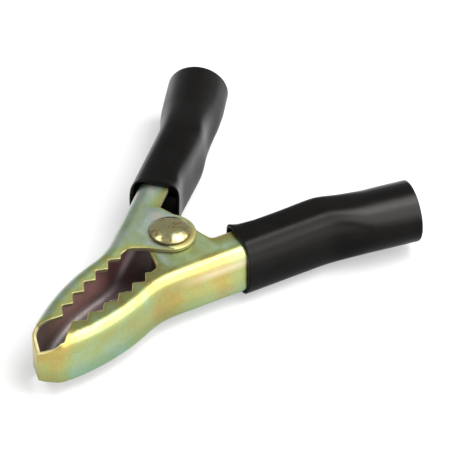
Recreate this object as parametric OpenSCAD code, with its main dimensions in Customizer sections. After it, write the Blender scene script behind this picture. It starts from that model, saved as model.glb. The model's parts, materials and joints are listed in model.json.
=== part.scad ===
// Alligator clip: a left and a right sheet steel pressing on one rivet, closed by a
// torsion spring, with a soft sleeve on each handle. It lies on its side: the jaws
// point along -X, the handles along +X, and the rivet stands upright.

/* [Pressing] */
// Sheet thickness
sheet = 0.8; // [0.6:0.05:1.0]
// Width across the two flat walls of the channel
channel_w = 11.8; // [10:0.1:14.5]
// Outside radius of the bend between the back and each wall
bend_r = 2.4; // [1.6:0.1:2.8]
// Distance from the rivet to the lips
jaw_reach = 39.25; // [36:0.25:48]
// Gap between the two lips when the clip is shut
lip_gap = 0.04; // [0.02:0.01:0.2]
// Slope of the nose plate to the length of the clip
nose_angle = 56; // [48:1:62]
// Radius of the corner where the nose plate meets the back
nose_r = 3; // [2.8:0.1:3.8]
// Height of the curved back above the middle of the clip
back_h = 7.75; // [6.8:0.05:8.6]
// Distance from the rivet to the highest point of the back
back_x = 18; // [16:0.25:22]
// Height of the back above the middle where it comes to the nose
nose_h = 4; // [3.6:0.05:4.4]
// Distance of that place behind the lips
nose_run = 3.25; // [3:0.05:3.6]
// Radius of the waist between the back and the handle
waist_r = 16; // [12:0.5:20]

/* [Teeth] */
// Number of teeth on each wall
tooth_count = 6; // [4:1:6]
// Length of the jaw from the lips to the first tooth
nose_len = 8.95; // [8.5:0.05:10]
// Depth of a tooth
tooth_h = 1.65; // [1.2:0.05:2]
// Distance from the rivet to the last tooth
last_tooth_x = 11.1; // [10.6:0.1:12]
// Distance of the last tooth from the middle of the clip
tooth_gap = 3.1; // [2.6:0.1:3.4]
// Distance of the first tooth from the middle of the clip
first_gap = 1.1; // [0.9:0.05:1.6]
// Height of the lip above the middle, on the open side of the nose
lip_half = 2.8; // [2.4:0.1:3.4]
// Height of the lip on the closed side of the nose
lip_low = 4.3; // [3.8:0.1:4.6]
// Height of the nose plate behind the lip, on its closed side
plate_low = 5; // [4.6:0.1:5.2]
// Radius of the round opening beside the lip
window_r = 6.45; // [5.6:0.05:7.5]
// Distance of that opening's centre beyond the middle of the clip
window_y = 1.6; // [1.4:0.1:2.2]
// Length of wall that runs forward from the first tooth
wall_front = 4.9; // [4:0.1:5.4]

/* [Ears] */
// Radius of the ear around the rivet
ear_r = 5.15; // [4.8:0.05:5.6]
// Slope of the ear's front edge
ear_angle = 59; // [56:1:64]
// Distance from the rivet to the ear's straight rear edge
ear_back = 4.5; // [4:0.1:4.8]
// Gap between an ear and the ear that turns against it
ear_gap = 0.1; // [0.05:0.01:0.2]
// Radius of the raised seat on the outer ear
seat_r = 6.25; // [6.2:0.05:6.6]
// Width of the slope around the raised seat
seat_slope = 2.2; // [1.2:0.1:2.3]

/* [Handles] */
// Slope of each handle
handle_angle = 22; // [18:0.5:26]
// Distance from the rivet to the line of the handle's back
handle_off = 11.05; // [10.5:0.05:12]
// Distance along the handle from the rivet to the end of the metal
handle_len = 29.5; // [25:0.5:36]
// Height of the handle's side walls
handle_depth = 6.5; // [5.8:0.1:7]
// How much lower the side walls are inside the sleeve
sleeve_relief = 0.5; // [0.4:0.05:0.8]
// Length of the crimp tabs at the end of the handle
tab_len = 5; // [4:0.25:6]
// Width of the slot in front of each crimp tab
tab_slot = 2; // [1.5:0.25:2.5]

/* [Rivet] */
// Diameter of the shank
shank_d = 4; // [3.4:0.1:4.8]
// Clearance around the shank in each ear
shank_clear = 0.06; // [0.02:0.01:0.1]
// Diameter of the round head
head_d = 8; // [7:0.1:9]
// Height of the head's straight rim
head_rim = 0.55; // [0.3:0.05:0.8]
// Height of the dome above that rim
head_dome = 1.15; // [0.8:0.05:1.4]
// Diameter of the formed tail
tail_d = 6.6; // [5.8:0.1:7.6]
// Height of the formed tail
tail_h = 1; // [0.7:0.05:1.3]
// Depth of the hollow in the tail
tail_hollow = 0.6; // [0.3:0.05:0.65]
// End play of the ears under the head and the tail
end_play = 0.04; // [0.02:0.01:0.1]

/* [Spring] */
// Wire diameter
wire_d = 1.4; // [1:0.05:1.6]
// Inside clearance between the coil and the shank
coil_clear = 0.35; // [0.2:0.05:0.6]
// Distance between neighbouring turns, as a multiple of the wire
coil_pitch = 1.085; // [1.06:0.005:1.15]
// Least gap between the coil and each wall
coil_side = 0.3; // [0.2:0.05:0.6]
// Gap between a spring leg and the handle that it presses on
leg_gap = 0.2; // [0.18:0.01:0.3]
// Distance along the handle from the rivet to the tip of a leg
leg_reach = 18; // [15:0.5:20]

/* [Sleeves] */
// Wall thickness of the sleeve
sleeve_wall = 0.85; // [0.7:0.05:1]
// Clearance between the handle's back and the sleeve
sleeve_clear = 0.1; // [0.05:0.01:0.2]
// Clearance between the handle's flat walls and the sleeve
sleeve_side = 0.25; // [0.22:0.01:0.4]
// Room inside the sleeve beyond the edges of the handle's walls
sleeve_room = 0.95; // [0.9:0.05:1.4]
// Outside diameter of the round rear half
sleeve_d = 12.6; // [11.5:0.1:13.5]
// Distance along the handle from the rivet to the sleeve's front rim
sleeve_start = 11.2; // [10:0.1:12]
// Distance of the sleeve's bend behind the end of the metal
sleeve_over = 0.5; // [0.3:0.1:2]
// Length of the sleeve behind its bend
sleeve_rear = 19.2; // [16:0.2:24]
// Angle of the bend in the sleeve, away from the clip's middle
sleeve_bend = 9; // [4:0.5:11]
// Length over which the sleeve turns from square to round, behind the metal
sleeve_blend = 12; // [8:0.5:14]
// How much wider the sleeve is at its front rim, on the side of the clip's middle
sleeve_flare = 0.8; // [0.75:0.05:1.1]
// Length of that wider front
flare_len = 5; // [4.5:0.25:6]
// How far the moving sleeve stands off the back of its handle
stand_off = 1; // [0:0.1:1.4]
// How far the moving sleeve has slipped back along its handle
sleeve_slip = 1.8; // [0:0.1:3]
// Squareness of the sleeve over the metal, where 2 is an ellipse
sleeve_square = 6; // [5.8:0.1:7]

/* [Hidden] */
$fn = 96;
far = 60;

// Levels, measured from the middle of the channel
wall_z = channel_w / 2;
seat_z = wall_z + ear_gap;
ear_top = seat_z + sheet;
head_z = ear_top + end_play;
tail_z = head_z + tail_h;

// Outline of the back, as lines and arcs that run into each other
function along(a) = [cos(a), sin(a)];
function left_of(a) = [-sin(a), cos(a)];
// Centre of the arc of radius r that touches the line from p at slope a on the given side,
// at distance d from the centre c. pick chooses one of the two answers.
function touch_arc(p, a, side, r, c, d, pick) =
    let (q = p + side * r * left_of(a) - c,
         b = q * along(a),
         u = -b + pick * sqrt(b * b - q * q + d * d))
    q + c + u * along(a);
// Radius of the arc that falls by h over the length d, from its highest point
function arc_r(d, h) = (d * d + h * h) / (2 * h);
back_r = arc_r(jaw_reach - nose_run - back_x, back_h - nose_h);
lip = [-jaw_reach, lip_gap / 2];
back_c = [-back_x, back_h - back_r];
nose_c = touch_arc(lip, nose_angle, -1, nose_r, back_c, back_r - nose_r, 1);
handle_p = handle_off * left_of(handle_angle);
waist_c = touch_arc(handle_p, handle_angle, 1, waist_r, back_c, back_r + waist_r, 1);
function slope_to(p, q) = atan2(q[1] - p[1], q[0] - p[0]);
function blend(a, b, t) = a + (b - a) * t;
function ease(t) = t * t * (3 - 2 * t);
function unit(v) = v / norm(v);
nose_turn = slope_to(back_c, nose_c);
waist_turn = slope_to(back_c, waist_c);
nose_start = (nose_c - lip) * along(nose_angle);
waist_end = (waist_c - handle_p) * along(handle_angle);

// A place on the handle: s along it from the rivet, n out from the rivet
function on_handle(s, n) = s * along(handle_angle) + n * left_of(handle_angle);
edge_n = handle_off - handle_depth;
hidden_n = edge_n + sleeve_relief;

// Teeth, from the nose to the rivet
tooth_pitch = (jaw_reach - nose_len - last_tooth_x) / (tooth_count - 1);
tooth_curve_r = arc_r((tooth_count - 1.5) * tooth_pitch, tooth_gap - first_gap);
function tip_x(i) = -last_tooth_x - tooth_pitch * (tooth_count - 1 - i);
function tip_y(x) = tooth_gap + sqrt(pow(tooth_curve_r, 2) - pow(x + last_tooth_x + tooth_pitch / 2, 2))
    - tooth_curve_r;
teeth = [for (i = [0 : 2 * tooth_count - 2])
    let (x = tip_x(i / 2)) [x, tip_y(x) + (i % 2) * tooth_h]];
wall_x = tip_x(0) - wall_front;
wall_y = tip_y(tip_x(0)) + wall_front / 2;
window_z = lip_half + sqrt(pow(window_r, 2) - pow(window_y, 2));

// Ear: a circle with a straight front edge that touches it
ear_touch = ear_r * [-sin(ear_angle), -cos(ear_angle)];
ear_run = (tooth_gap - ear_touch[1]) / sin(ear_angle);
ear_front = ear_touch + ear_run * [-cos(ear_angle), sin(ear_angle)];
notch = [ear_back, (edge_n + ear_back * sin(handle_angle)) / cos(handle_angle)];

// Spring
coil_r = shank_d / 2 + coil_clear + wire_d / 2;
leg_n = handle_off - sheet - leg_gap - wire_d / 2;
// Direction from the rivet to the place where a leg leaves the coil
leg_tip = on_handle(leg_reach, leg_n);
leg_from = slope_to([0, 0], leg_tip) + acos(coil_r / norm(leg_tip));
// Turns: as many whole ones as fit between the walls, and the part turn from leg to leg
part_turn = 1 - leg_from / 180;
coil_room = channel_w - 2 * (sheet + coil_side) - wire_d;
coil_turns = floor(coil_room / (coil_pitch * wire_d) - part_turn) + part_turn;

// Sleeve
inner_side = wall_z + sleeve_side;
inner_out = handle_off + sleeve_clear;
inner_in = hidden_n - sleeve_room;
rear_angle = handle_angle + sleeve_bend;
bore_r = sleeve_d / 2 - sleeve_wall;
bore_stock = 0.12;
mid_n = (inner_out + inner_in) / 2;
bend_s = handle_len + sleeve_over;
bend_p = on_handle(bend_s, mid_n);
rear_p = bend_p + sleeve_rear * along(rear_angle);

// The clip stands on the rivet's tail, with the middle of its length at the origin
rear_x = rear_p[0] + sleeve_slip * cos(handle_angle) + sleeve_d / 2 * sin(rear_angle);
module in_place() {
    translate([(jaw_reach - rear_x) / 2, 0, tail_z]) children();
}
module other_half() {
    rotate([180, 0, 0]) children();
}

// A station is one cross-section of the pressing: the point on the back, the direction
// out of the back, the edge of the wall, and how far along the jaw it is
AT_LIP = 0;
ON_NOSE = 1;
BEHIND = 2;
web_flat = wall_z - bend_r;
bend_len = bend_r * PI / 2;
function wall_root(s) = s[0] - bend_r * s[1];
// Length of half a section whose wall ends at plan distance d from the back
function reach_to(d) = web_flat
    + (d < bend_r ? bend_r * acos(1 - d / bend_r) * PI / 180 : bend_len + d - bend_r);
// Length of half a section that ends at the height z
function reach_up(z) =
    z < web_flat ? z : web_flat + bend_r * asin(min(1, (z - web_flat) / bend_r)) * PI / 180;
// Heights of the nose plate's two edges at plan distance y from the middle of the clip
function open_edge(y) = window_z - sqrt(max(0, pow(window_r, 2) - pow(y + window_y, 2)));
function closed_edge(y) = blend(lip_low, plate_low, ease(min(1, 2 * y / nose_r)));
function reach(s, open) =
    s[3] != BEHIND ? min(corner_reach, reach_up(open ? open_edge(s[0][1]) : closed_edge(s[0][1])))
    : norm(s[0] - s[2]) < bend_r ? reach_to(norm(s[0] - s[2]))
    : web_flat + bend_len + norm(s[2] - wall_root(s));

// The station whose wall edge is at e, square to the back
function square_to(e) =
    let (a = slope_to(back_c, e), w = slope_to(waist_c, e))
    a >= waist_turn ? [back_c + back_r * along(a), along(a), e, BEHIND]
    : w <= handle_angle - 90 ? [waist_c + waist_r * along(w), -along(w), e, BEHIND]
    : [on_handle(e * along(handle_angle), handle_off), left_of(handle_angle), e, BEHIND];
wall_corner = [wall_x, wall_y];
corner_reach = reach(square_to(wall_corner), true);
nose_plate = [for (u = [0 : 4])
    [lip + u / 4 * nose_start * along(nose_angle), left_of(nose_angle), wall_corner,
     u == 0 ? AT_LIP : ON_NOSE]];
nose_corner = [for (i = [1 : 3])
    let (a = blend(nose_angle + 90, nose_turn, i / 4))
    [nose_c + nose_r * along(a), along(a), wall_corner, ON_NOSE]];
mouth = [for (e = concat(
        [for (i = [0 : 3]) blend(wall_corner, teeth[0], i / 4)],
        teeth,
        [[-last_tooth_x + tooth_h / 2, tooth_gap + tooth_h / 2],
         [ear_front[0] - tooth_h / 2, tooth_gap + tooth_h / 2], ear_front])) square_to(e)];
// The ear's outline, from its front edge round the rivet to the notch at the handle
slope_r = seat_r + seat_slope;
ear_edge = concat(
    [for (r = [slope_r, seat_r]) ear_touch + sqrt(r * r - ear_r * ear_r) * [-cos(ear_angle), sin(ear_angle)]],
    [for (i = [0 : 9]) ear_r * along(blend(270 - ear_angle, 360 + acos(ear_back / ear_r), i / 9))],
    [[ear_back, sqrt(seat_r * seat_r - ear_back * ear_back)]]);
notch_s = notch * along(handle_angle);
ear = [for (i = [0 : len(ear_edge) - 1])
    let (s = blend(waist_end, notch_s, (i + 1) / (len(ear_edge) + 1)))
    [on_handle(s, handle_off), left_of(handle_angle), ear_edge[i], BEHIND]];
tab_s = handle_len - tab_len;
slot_n = handle_off - bend_r - sheet / 4;
flare_s = sleeve_start + sleeve_slip - sheet / 2;
handle = [for (e = [[notch_s, edge_n], [flare_s, edge_n], [flare_s + 2 * sheet, hidden_n],
                    [tab_s - tab_slot, hidden_n], [tab_s - tab_slot + sheet / 4, slot_n],
                    [tab_s - sheet / 4, slot_n], [tab_s, hidden_n], [handle_len, hidden_n]])
    [on_handle(e[0], handle_off), left_of(handle_angle), on_handle(e[0], e[1]), BEHIND]];
stations = concat(nose_plate, nose_corner, mouth, ear, handle);

// Places along half a section, as lengths from the middle of the back
bend_steps = 4;
// Share of the way from the wall's root to its edge at which it crosses the circle r
function crossing(s, r, most) =
    let (p = wall_root(s), d = s[2] - p, b = p * d, k = b * b - (d * d) * (p * p - r * r))
    k < 0 || norm(s[2]) > r ? most : min(most, (-b - sqrt(k)) / (d * d));
function places(s, open) =
    let (l = reach(s, open), a = min(web_flat, l / 2), b = min(bend_len, 0.6 * (l - a)), c = l - a - b,
         f = crossing(s, slope_r, 0.7), g = max(crossing(s, seat_r, 0.85), f + 0.05))
    concat([for (i = [0 : bend_steps]) a + b * i / bend_steps], [for (k = [f / 2, f, g, 1]) a + b + c * k]);
function raise(q) = (ear_gap + sheet) * max(0, min(1, (slope_r - norm(q)) / seat_slope));
// The lip is cut off along the middle of the clip
function trimmed(s, p) =
    s[3] == AT_LIP ? p + (lip[1] - p[1]) / sin(nose_angle) * along(nose_angle) : p;
// The point at length l on half a section; side is 1 on the wall with the raised ear
function section_point(s, l, inset, side) =
    let (root = wall_root(s), t = (l - web_flat) / bend_r * 180 / PI, w = l - web_flat - bend_len,
         q = w <= 0 ? root : root + w * unit(s[2] - root))
    l <= web_flat ? concat(trimmed(s, s[0] - inset * s[1]), side * l)
    : w <= 0 ? concat(trimmed(s, root + (bend_r - inset) * cos(t) * s[1]),
                      side * (web_flat + (bend_r - inset) * sin(t)))
    : concat(q, side * (wall_z - inset) + (side > 0 ? raise(q) : 0));
function section_line(s, inset, open_side) =
    let (below = places(s, open_side < 0), above = places(s, open_side > 0), last = len(above) - 1)
    concat([for (k = [last : -1 : 0]) section_point(s, below[k], inset, -1)],
           [for (k = [0 : last]) section_point(s, above[k], inset, 1)]);

// A closed skin over rows of points: outer[i] and inner[i] are the two faces of the sheet at row i
function strip(rows, m, flip) =
    [for (i = [0 : len(rows) - 2], k = [0 : m - 2])
        let (a = rows[i] + k, b = rows[i + 1] + k)
        each flip ? [[a, b, a + 1], [b, b + 1, a + 1]] : [[a, a + 1, b], [b, a + 1, b + 1]]];
function seam(a, b, flip) =
    [for (k = [0 : len(a) - 2])
        each flip ? [[a[k], b[k], a[k + 1]], [b[k], b[k + 1], a[k + 1]]]
                  : [[a[k], a[k + 1], b[k]], [b[k], a[k + 1], b[k + 1]]]];
module sheet_skin(outer, inner) {
    n = len(outer);
    m = len(outer[0]);
    rows_out = [for (i = [0 : n - 1]) i * m];
    rows_in = [for (i = [0 : n - 1]) (n + i) * m];
    span = [for (k = [0 : m - 1]) k];
    polyhedron([for (r = concat(outer, inner)) each r], concat(
        strip(rows_out, m, false), strip(rows_in, m, true),
        seam([for (k = span) k], [for (k = span) n * m + k], true),
        seam([for (k = span) (n - 1) * m + k], [for (k = span) (2 * n - 1) * m + k], false),
        seam(rows_out, rows_in, false),
        seam([for (r = rows_out) r + m - 1], [for (r = rows_in) r + m - 1], true)));
}

// One pressing, on the +Y side, with its raised ear on top. Its nose is open on the side given.
module pressing(open_side) {
    difference() {
        sheet_skin([for (s = stations) section_line(s, 0, open_side)],
                   [for (s = stations) section_line(s, sheet, open_side)]);
        cylinder(d = shank_d + 2 * shank_clear, h = far, center = true);
    }
}

module fixed_jaw() {
    color("darkkhaki") in_place() other_half() pressing(-1);
}
module moving_jaw() {
    color("darkkhaki") in_place() pressing(1);
}

module pivot_rivet() {
    dome_r = (pow(head_d / 2, 2) + pow(head_dome, 2)) / (2 * head_dome);
    color("khaki") in_place() difference() {
        union() {
            translate([0, 0, -head_z]) cylinder(d = shank_d, h = 2 * head_z);
            translate([0, 0, head_z]) cylinder(d = head_d, h = head_rim);
            intersection() {
                translate([0, 0, head_z + head_rim + head_dome - dome_r]) sphere(dome_r);
                translate([0, 0, head_z + head_rim]) cylinder(d = head_d, h = head_dome + 1);
            }
            translate([0, 0, -tail_z]) cylinder(d1 = tail_d - tail_h, d2 = tail_d, h = tail_h);
        }
        translate([0, 0, -tail_z])
            cylinder(d1 = shank_d - tail_hollow, d2 = shank_d - 2 * tail_hollow, h = tail_hollow);
    }
}

// A tube of round wire along a list of points
function course(p, i) = unit(p[min(i + 1, len(p) - 1)] - p[max(i - 1, 0)]);
function ring(p, i, r, sides) =
    let (t = course(p, i), a = unit(cross(t, abs(t[2]) > 0.9 ? [1, 0, 0] : [0, 0, 1])), b = cross(t, a))
    [for (k = [0 : sides - 1]) p[i] + r * (cos(360 * k / sides) * a + sin(360 * k / sides) * b)];
module wire(p, d, sides) {
    last = len(p) - 1;
    points = [for (i = [0 : last]) each ring(p, i, d / 2, sides)];
    faces = concat(
        [[for (k = [0 : sides - 1]) sides - 1 - k]],
        [[for (k = [0 : sides - 1]) last * sides + k]],
        [for (i = [0 : last - 1], k = [0 : sides - 1])
            let (a = i * sides + k, b = i * sides + (k + 1) % sides) [a, b, b + sides, a + sides]]);
    polyhedron(points, [for (f = faces) [for (k = [len(f) - 1 : -1 : 0]) f[k]]]);
}
// A leg leaves the coil on a tangent and lies along the inside of a handle's back
function leg(side, z) =
    [for (u = [0.2, 0.6, 1])
        let (q = blend(coil_r * along(leg_from), leg_tip, u)) [q[0], side * q[1], z]];
module torsion_spring() {
    steps = 14 * ceil(coil_turns);
    top = coil_turns * coil_pitch * wire_d / 2;
    coil = [for (i = [0 : steps])
        let (a = leg_from + 360 * coil_turns * i / steps)
        [coil_r * cos(a), coil_r * sin(a), blend(top, -top, i / steps)]];
    path = concat([for (i = [2 : -1 : 0]) leg(1, top)[i]], coil, leg(-1, -top));
    color("slategray") in_place() wire(path, wire_d, 8);
}

// Sleeve: square over the metal, turning round behind it
function squarish(a, e) = sign(a) * pow(abs(a), 2 / e);
// One ring of the sleeve: t is 0 over the metal and 1 on the round part, grow is the wall,
// back and front are the extra widths on the two sides of the metal
function sleeve_ring(c, angle, t, grow, back, front) =
    let (e = blend(sleeve_square, 2, t),
         skin = grow + (grow < 0 ? bore_stock * (1 - t) : 0),
         half_n = (inner_out - inner_in) / 2,
         half_z = blend(inner_side, bore_r, t) + skin)
    [for (k = [0 : sleeve_sides - 1])
        let (a = 360 * k / sleeve_sides,
             half = blend(half_n + (cos(a) > 0 ? back : front), bore_r, t) + skin,
             q = c + half * squarish(cos(a), e) * left_of(angle))
        [q[0], q[1], half_z * squarish(sin(a), e)]];
// Rings of the sleeve from its front rim to its rear end
sleeve_sides = 32;
blend_steps = 6;
function sleeve_centre(s) = s < bend_s ? on_handle(s, mid_n) : bend_p + (s - bend_s) * along(rear_angle);
function sleeve_rings(grow, back) = concat(
    [for (u = [0, 1])
        sleeve_ring(sleeve_centre(sleeve_start + u * flare_len), handle_angle, 0, grow,
                    back, (1 - u) * sleeve_flare)],
    [for (i = [0 : blend_steps])
        let (t = i / blend_steps)
        sleeve_ring(sleeve_centre(handle_len + t * sleeve_blend), handle_angle + sleeve_bend * ease(t),
                    ease(t), grow, back, 0)],
    [sleeve_ring(rear_p, rear_angle, 1, grow, 0, 0)]);
module sleeve(back) {
    outer = sleeve_rings(sleeve_wall, back);
    inner = sleeve_rings(-bore_stock, back);
    n = len(outer);
    m = sleeve_sides;
    // faces of a tube: outside, inside and the two rims
    faces = [for (i = [0 : n - 2], k = [0 : m - 1])
        let (a = i * m + k, b = i * m + (k + 1) % m, c = n * m)
        each [[a, b, a + m], [b, b + m, a + m], [c + a, c + a + m, c + b], [c + b, c + a + m, c + b + m]]];
    rims = [for (k = [0 : m - 1])
        let (j = (k + 1) % m, c = n * m, e = (n - 1) * m)
        each [[k, c + k, j], [j, c + k, c + j], [e + k, e + j, c + e + k], [e + j, c + e + j, c + e + k]]];
    difference() {
        polyhedron([for (r = concat(outer, inner)) each r], concat(faces, rims));
        translate(sleeve_centre(handle_len + sleeve_blend + sheet / 2)) rotate(rear_angle) rotate([0, 90, 0])
            cylinder(r = bore_r, h = far);
    }
}
module fixed_sleeve() {
    color("dimgray") in_place() other_half() sleeve(0);
}
module moving_sleeve() {
    color("dimgray") in_place() translate(sleeve_slip * along(handle_angle)) sleeve(stand_off);
}

fixed_jaw();
moving_jaw();
pivot_rivet();
torsion_spring();
fixed_sleeve();
moving_sleeve();
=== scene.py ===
import json
import math
import bmesh
import bpy
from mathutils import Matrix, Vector


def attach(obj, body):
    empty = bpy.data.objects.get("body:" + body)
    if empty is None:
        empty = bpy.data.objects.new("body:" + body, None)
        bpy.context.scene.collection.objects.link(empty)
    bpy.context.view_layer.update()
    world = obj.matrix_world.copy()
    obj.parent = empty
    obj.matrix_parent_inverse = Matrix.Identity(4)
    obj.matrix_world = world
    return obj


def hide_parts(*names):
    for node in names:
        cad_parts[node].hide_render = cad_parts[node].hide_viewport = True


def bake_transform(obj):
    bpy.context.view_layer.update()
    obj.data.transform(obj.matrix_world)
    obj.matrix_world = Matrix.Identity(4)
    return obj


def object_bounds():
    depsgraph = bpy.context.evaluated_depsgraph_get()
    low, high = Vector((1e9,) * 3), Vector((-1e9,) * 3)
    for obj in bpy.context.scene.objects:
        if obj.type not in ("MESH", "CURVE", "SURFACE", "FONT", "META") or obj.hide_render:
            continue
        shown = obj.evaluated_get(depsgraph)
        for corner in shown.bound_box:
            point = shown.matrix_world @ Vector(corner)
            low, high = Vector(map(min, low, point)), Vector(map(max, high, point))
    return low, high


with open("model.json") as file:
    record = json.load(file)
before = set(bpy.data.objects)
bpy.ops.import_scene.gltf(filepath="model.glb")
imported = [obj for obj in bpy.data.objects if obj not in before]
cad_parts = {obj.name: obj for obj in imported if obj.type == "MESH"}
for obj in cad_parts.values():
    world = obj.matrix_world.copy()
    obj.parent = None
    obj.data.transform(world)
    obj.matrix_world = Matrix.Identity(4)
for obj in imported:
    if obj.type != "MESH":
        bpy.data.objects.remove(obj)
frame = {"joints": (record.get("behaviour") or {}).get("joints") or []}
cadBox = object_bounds()
scene = bpy.context.scene
pivot = Vector(frame["joints"][0]["pos_m"])   # rivet axis at the middle of the channel
mm = 0.001
chamfer = 0.3   # how deep a small round edge is cut, as a share of its radius
print("frame loaded, rivet at", [round(v, 5) for v in pivot])


# small helpers in plan: x along the clip, y across it, millimetres from the rivet
def along(a):
    return Vector((math.cos(math.radians(a)), math.sin(math.radians(a))))


def leftOf(a):
    return Vector((-math.sin(math.radians(a)), math.cos(math.radians(a))))


def slopeTo(p, q):
    return math.degrees(math.atan2(q[1] - p[1], q[0] - p[0]))


def mixed(a, b, t):
    return a + (b - a) * t


def eased(t):
    t = max(0.0, min(1.0, t))
    return t * t * (3 - 2 * t)


def clipPoint(p, turned):
    # the fixed half is drawn like the moving one and then turned over about the clip's length
    flip = -1 if turned else 1
    return pivot + Vector((p[0], flip * p[1], flip * p[2])) * mm


def meshPiece(name, points, faces, marks, smoothAngle):
    mesh = bpy.data.meshes.new(name)
    mesh.from_pydata(points, [], faces)
    for mark, values in marks.items():
        mesh.attributes.new(mark, "FLOAT", "POINT").data.foreach_set("value", values)
    work = bmesh.new()
    work.from_mesh(mesh)
    bmesh.ops.remove_doubles(work, verts=work.verts, dist=1e-7)
    bmesh.ops.recalc_face_normals(work, faces=work.faces)
    work.to_mesh(mesh)
    work.free()
    for face in mesh.polygons:
        face.use_smooth = True
    mesh.set_sharp_from_angle(angle=math.radians(smoothAngle))
    piece = bpy.data.objects.new(name, mesh)
    scene.collection.objects.link(piece)
    return piece


# material helpers
def newMaterial(name):
    material = bpy.data.materials.new(name)
    material.use_nodes = True
    tree = material.node_tree
    return material, tree, tree.nodes["Principled BSDF"]


def addNode(tree, kind, inputs=None, **settings):
    node = tree.nodes.new(kind)
    for key, value in settings.items():
        setattr(node, key, value)
    for key, value in (inputs or {}).items():
        if isinstance(value, bpy.types.NodeSocket):
            tree.links.new(value, node.inputs[key])
        else:
            node.inputs[key].default_value = value
    return node


def colourStops(tree, factor, stops):
    node = addNode(tree, "ShaderNodeValToRGB", {"Fac": factor})
    ramp = node.color_ramp
    while len(ramp.elements) < len(stops):
        ramp.elements.new(0.5)
    for element, (place, colour) in zip(ramp.elements, stops):
        element.position = place
        element.color = (*colour, 1)
    return node.outputs["Color"]


def noiseOn(tree, where, scale, detail=3.0, roughness=0.5, distortion=0.0):
    node = addNode(tree, "ShaderNodeTexNoise", {"Vector": where, "Scale": scale, "Detail": detail,
                                                "Roughness": roughness, "Distortion": distortion})
    return node.outputs["Fac"]


def blendColours(tree, factor, a, b, blendType="MIX"):
    node = addNode(tree, "ShaderNodeMix", data_type="RGBA", blend_type=blendType)
    for index, value in ((0, factor), (6, a), (7, b)):
        if isinstance(value, bpy.types.NodeSocket):
            tree.links.new(value, node.inputs[index])
        else:
            node.inputs[index].default_value = value
    return node.outputs[2]


def mapRange(tree, value, low, high, toLow, toHigh):
    node = addNode(tree, "ShaderNodeMapRange", {"Value": value, "From Min": low, "From Max": high,
                                                "To Min": toLow, "To Max": toHigh})
    return node.outputs["Result"]


def maths(tree, operation, a, b):
    return addNode(tree, "ShaderNodeMath", {0: a, 1: b}, operation=operation).outputs[0]


def levels(tree, factor, stops):
    # a curve of plain values
    return colourStops(tree, factor, [(place, (value,) * 3) for place, value in stops])


def spread(tree, noise, low, high, half=0.2):
    # the middle of a noise, stretched from low to high
    return mapRange(tree, noise, 0.5 - half, 0.5 + half, low, high)


def tinted(tree, factor, colour, tint):
    # multiplied by the tint where the factor is 1
    return blendColours(tree, factor, colour, blendColours(tree, 1.0, colour, tint, "MULTIPLY"))


def heightOn(tree, where, half):
    # 0 to 1, from half a width under the rivet's middle to half over it
    height = addNode(tree, "ShaderNodeSeparateXYZ", {0: where}).outputs["Z"]
    return mapRange(tree, height, pivot.z - half * mm, pivot.z + half * mm, 0.0, 1.0)


def bumpFrom(tree, height, distance, strength, under=None):
    node = addNode(tree, "ShaderNodeBump", {"Height": height, "Distance": distance, "Strength": strength})
    if under:
        tree.links.new(under, node.inputs["Normal"])
    return node.outputs["Normal"]


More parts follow.
